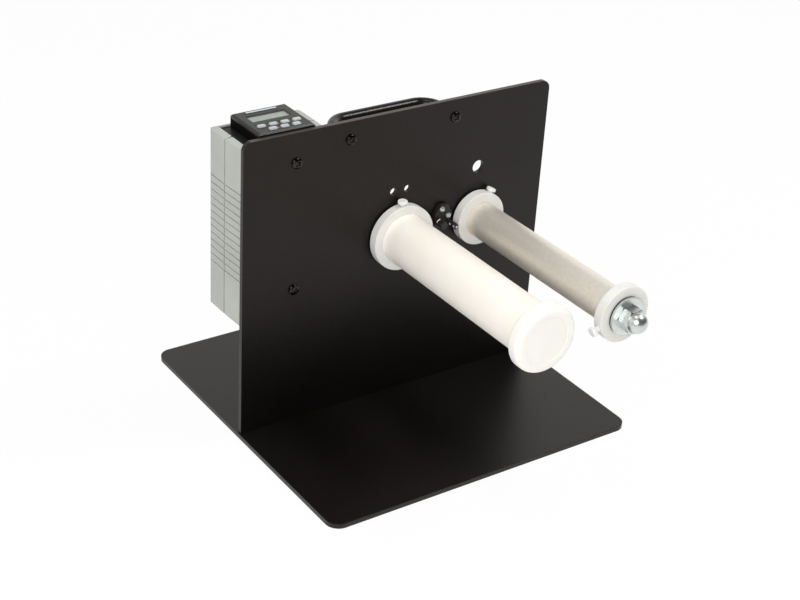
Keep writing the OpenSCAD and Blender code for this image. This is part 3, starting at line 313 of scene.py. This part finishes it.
# The upright's top face, from this depth below its top, is painted lighter: a painted highlight of light
# from above.
painted_highlight_depth = 0.00015
top_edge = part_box("upright_plate")[1].z - painted_highlight_depth
own_looks = {
    "upright_plate": powder_coat("powder_coat_upright", 0.31, linear(66, 60, 54), top_edge),
    # The counter's housing takes a darker, almost unreflective copy of the counter's black plastic: painted
    # shade on its sides.
    "counter_housing": moulded("counter_side_painted_shade", linear(12, 11, 11), linear(16, 15, 14),
                               rough=(0.5, 0.6), specular=0.02),
    "spool_flange": turned_plastic("flange_white", linear(251, 247, 239), linear(253, 250, 244), glow=0.3),
}
for part in frame["record"]["subparts"]:
    node_name = part["node"]
    look = own_looks.get(node_name, looks[part["material_slot"]])
    nodes[node_name].data.materials.clear()
    nodes[node_name].data.materials.append(look)


def rounded_outline(width, depth, corner, steps=5):
    """Points of a rectangle with round corners, its middle at the origin."""
    points = []
    for quarter, (side, end) in enumerate(((1, 1), (-1, 1), (-1, -1), (1, -1))):
        for step in range(steps + 1):
            turn = math.pi / 2 * (quarter + step / steps)
            points.append((side * (width / 2 - corner) + corner * math.cos(turn),
                           end * (depth / 2 - corner) + corner * math.sin(turn)))
    return points


def stacked(name, rings, look):
    """A piece of the stand, skinned over a stack of rings of points and closed at both ends."""
    shape = bmesh.new()
    loops = [[shape.verts.new(point) for point in ring] for ring in rings]
    shape.faces.new(loops[0][::-1])
    shape.faces.new(loops[-1])
    for lower, upper in zip(loops, loops[1:]):
        for i in range(len(lower)):
            j = (i + 1) % len(lower)
            shape.faces.new((lower[i], lower[j], upper[j], upper[i]))
    mesh = bpy.data.meshes.new(name)
    shape.to_mesh(mesh)
    shape.free()
    mesh.materials.append(look)
    piece = bpy.data.objects.new(name, mesh)
    scene.collection.objects.link(piece)
    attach(piece, "stand")


def lying(x, y, height):
    """A point of a plate that lies on top of a face."""
    return (x, y, height)


def facing_front(x, y, height):
    """A point of a plate on a face that looks to the front."""
    return (x, -height, y)


def facing_left(x, y, height):
    """A point of a plate on a face that looks to the left."""
    return (-height, -x, y)


def plaque(name, middle, size, corner, thick, look, place=lying):
    """Thin plate with round corners and a soft rim."""
    rings = []
    soft = thick / 2
    for inset, height in ((0.0, 0.0), (0.0, thick - soft), (soft * 0.3, thick - soft * 0.3), (soft, thick)):
        ring = rounded_outline(size[0] - 2 * inset, size[1] - 2 * inset, corner - inset)
        rings.append([Vector(middle) + Vector(place(x, y, height)) for x, y in ring])
    stacked(name, rings, look)


def bent_glint_streak(name, middle, radius, half, start, end, look, steps=18, sides=10):
    """Round streak that thins out to both ends, bent round an axis that points to the front; it paints a
    glint.
    """
    rings = []
    for step in range(steps + 1):
        turn = math.radians(start + (end - start) * step / steps)
        outward = Vector((math.cos(turn), 0.0, math.sin(turn)))
        size = half * math.sin(math.pi * (step + 1) / (steps + 2)) ** 0.5
        ring = []
        for side in range(sides):
            around = 2 * math.pi * side / sides
            forward = Vector((0.0, -size * math.sin(around), 0.0))
            ring.append(Vector(middle) + outward * (radius + size * math.cos(around)) + forward)
        rings.append(ring)
    stacked(name, rings, look)


def counter_details():
    """Bare name strip, dark bars behind the keys painted as the keys' shadow, and a small reddish lamp on
    the counter's face.
    """
    face_rim = 0.0016
    strip_inset = 0.0018
    strip_lift = 0.0001
    key_shadow_shift = 0.0006
    key_shadow_gap = 0.0004
    lamp_gap = 0.0004
    lamp_inset = 0.0022
    low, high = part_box("counter_face")
    top = high.z
    middle = (low.x + high.x) / 2
    strip_y = high.y - face_rim - strip_inset
    ink = moulded("strip_edge", linear(20, 24, 32), linear(26, 31, 40), rough=(0.3, 0.4))
    blank = moulded("strip_blank", linear(186, 192, 202), linear(204, 209, 217), rough=(0.25, 0.35))
    key_shadow_look = moulded("key_print", linear(10, 14, 12), linear(16, 20, 18), rough=(0.5, 0.6), specular=0.2)
    red = moulded("red_lamp", linear(196, 132, 122), linear(208, 146, 136), rough=(0.2, 0.3))
    plaque("name_strip_edge", (middle, strip_y, top), size=(0.0232, 0.0034),
           corner=0.0006, thick=0.00012, look=ink)
    plaque("name_strip", (middle, strip_y, top + strip_lift), size=(0.0214, 0.0018),
           corner=0.0004, thick=0.00012, look=blank)
    # Near-black bars just behind each key: painted shadow of the keys on the face.
    for number in range(1, 8):
        key_low, key_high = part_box("key_%d" % number)
        spot = ((key_low.x + key_high.x) / 2 - key_shadow_shift, key_high.y + key_shadow_gap, top)
        plaque("key_print_%d" % number, spot, size=(0.0044, 0.0011),
               corner=0.0003, thick=0.00006, look=key_shadow_look)
    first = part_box("key_5")[1]
    plaque("red_lamp", (first.x + lamp_gap, first.y - lamp_inset, top), size=(0.001, 0.001),
           corner=0.00048, thick=0.0003, look=red)


def sensor_details():
    """Painted glint on the round prong, drawn as a bright bent streak, a pale end on the square prong and a
    window in its side.
    """
    lens_r = 0.0009
    lens_sink = 0.00075
    round_prong_r = 0.0026
    glint_from_rear = 0.0053
    window_from_rear = 0.0064
    half_prong = 0.0011
    body_low, body_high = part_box("sensor_body")
    lens_low, lens_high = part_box("sensor_lenses")
    glint_look = moulded("sensor_painted_glint", linear(238, 238, 234), linear(246, 246, 243), rough=(0.12, 0.2))
    pale = moulded("sensor_window", linear(206, 202, 196), linear(222, 218, 212), rough=(0.2, 0.3))
    prong_z = lens_low.z + lens_r
    prong_left = lens_high.x - lens_sink
    round_axis = (lens_low.x + lens_sink - round_prong_r, body_high.y - glint_from_rear, lens_high.z - lens_r)
    # Painted highlight: a near-white streak on the upper left of the round prong, where light catches it.
    bent_glint_streak("round_prong_painted_glint", round_axis, radius=0.00275, half=0.00032, start=92, end=168,
             look=glint_look)
    plaque("prong_end", (prong_left + half_prong, body_low.y, prong_z), size=(0.0013, 0.0015),
           corner=0.0003, thick=0.00015, look=pale, place=facing_front)
    plaque("prong_side_window", (prong_left, body_high.y - window_from_rear, prong_z), size=(0.0018, 0.0014),
           corner=0.0004, thick=0.00012, look=pale, place=facing_left)


def camera():
    """The photograph's own camera, turned a little about its line of sight."""
    image_width = 800
    azimuth = math.radians(-35.728)
    elevation = math.radians(29.021)
    roll = math.radians(3.572)
    target = Vector((0.005253, -0.0016, 0.069543))
    distance = 1.10966
    back = Vector((math.sin(azimuth) * math.cos(elevation), -math.cos(azimuth) * math.cos(elevation),
                   math.sin(elevation)))
    right = (-back).cross(Vector((0, 0, 1))).normalized()
    up = right.cross(-back)
    side = math.cos(roll) * right + math.sin(roll) * up
    head = math.cos(roll) * up - math.sin(roll) * right
    data = bpy.data.cameras.new("camera")
    data.sensor_width = 36.0
    data.lens = 75.733
    data.shift_x = -0.5 / image_width
    data.shift_y = 1.0 / image_width
    data.clip_start = 0.05
    holder = bpy.data.objects.new("camera", data)
    turn = Matrix((side, head, back)).transposed().to_4x4()
    holder.matrix_world = Matrix.Translation(target + distance * back) @ turn
    scene.collection.objects.link(holder)
    scene.camera = holder


def lamp(name, place, aim, size, power):
    """Round soft lamp that looks from its place to its aim."""
    data = bpy.data.lights.new(name, "AREA")
    data.shape = "DISK"
    data.size = size
    data.energy = power
    holder = bpy.data.objects.new(name, data)
    holder.location = place
    holder.rotation_euler = (Vector(aim) - Vector(place)).to_track_quat("-Z", "Y").to_euler()
    scene.collection.objects.link(holder)


def seen_directly(tree):
    """1 for rays from the camera, off shiny faces and through glass."""
    path = tree.nodes.new("ShaderNodeLightPath")
    value = path.outputs["Is Camera Ray"]
    for name in ("Is Glossy Ray", "Is Transmission Ray"):
        value = combine(tree, "MAXIMUM", value, path.outputs[name])
    return value


def studio():
    """Soft light from the left, a white surround for the camera and a white sweep behind for shiny faces."""
    warm_white = (1.0, 0.985, 0.96, 1.0)
    fill_light = 0.48
    dim = 0.08
    world = bpy.data.worlds.new("studio")
    world.use_nodes = True
    tree = world.node_tree
    soft = tree.nodes["Background"]
    soft.inputs["Color"].default_value = warm_white
    soft.inputs["Strength"].default_value = fill_light
    white = tree.nodes.new("ShaderNodeBackground")
    white.inputs["Strength"].default_value = 1.0
    path = tree.nodes.new("ShaderNodeLightPath")
    place = tree.nodes.new("ShaderNodeTexCoord")
    parts = tree.nodes.new("ShaderNodeSeparateXYZ")
    tree.links.new(place.outputs["Generated"], parts.inputs["Vector"])
    behind = spread_range(tree, parts.outputs["Y"], low=dim, high=1.0, start=-0.15, end=0.25)
    not_overhead = spread_range(tree, parts.outputs["Z"], low=1.0, high=dim, start=0.55, end=0.8)
    sweep = combine(tree, "MULTIPLY", behind, not_overhead)
    seen = combine(tree, "MAXIMUM", sweep, path.outputs["Is Camera Ray"])
    tree.links.new(seen, white.inputs["Color"])
    surround = mixed(tree, seen_directly(tree), soft.outputs[0], white.outputs[0])
    tree.links.new(surround, tree.nodes["World Output"].inputs["Surface"])
    scene.world = world
    stand_middle = (0.0, -0.02, 0.1)
    handle_middle = (0.0, 0.03, 0.19)
    lamp("key", (-1.1, -0.95, 1.0), stand_middle, size=1.0, power=13.0)
    lamp("top", (-0.2, 0.1, 1.6), stand_middle, size=0.8, power=3.6)
    lamp("glint", (0.72, -0.39, 1.33), handle_middle, size=0.42, power=7.0)


def pale_floor():
    """White floor that keeps the shadow, and lets a camera below it see the part's underside."""
    half_size = 6.0
    below_base = 0.0002
    white_share = 0.95
    mesh = bpy.data.meshes.new("floor")
    shape = bmesh.new()
    bmesh.ops.create_grid(shape, x_segments=1, y_segments=1, size=half_size)
    shape.to_mesh(mesh)
    shape.free()
    floor = bpy.data.objects.new("floor", mesh)
    floor.location = (0, 0, -below_base)
    scene.collection.objects.link(floor)
    material = bpy.data.materials.new("pale_floor")
    material.use_nodes = True
    tree = material.node_tree
    matt = tree.nodes["Principled BSDF"]
    matt.inputs["Base Color"].default_value = (0.9, 0.9, 0.9, 1.0)
    matt.inputs["Roughness"].default_value = 0.9
    matt.inputs["Specular IOR Level"].default_value = 0.0
    white = tree.nodes.new("ShaderNodeEmission")
    white.inputs["Strength"].default_value = 1.0
    share = combine(tree, "MULTIPLY", seen_directly(tree), white_share)
    upper_side = mixed(tree, share, matt.outputs[0], white.outputs[0])
    side = tree.nodes.new("ShaderNodeNewGeometry")
    clear = tree.nodes.new("ShaderNodeBsdfTransparent")
    both_sides = mixed(tree, side.outputs["Backfacing"], upper_side, clear.outputs[0])
    tree.links.new(both_sides, tree.nodes["Material Output"].inputs["Surface"])
    mesh.materials.append(material)


counter_details()
sensor_details()
camera()
studio()
pale_floor()
scene.view_settings.view_transform = "Standard"
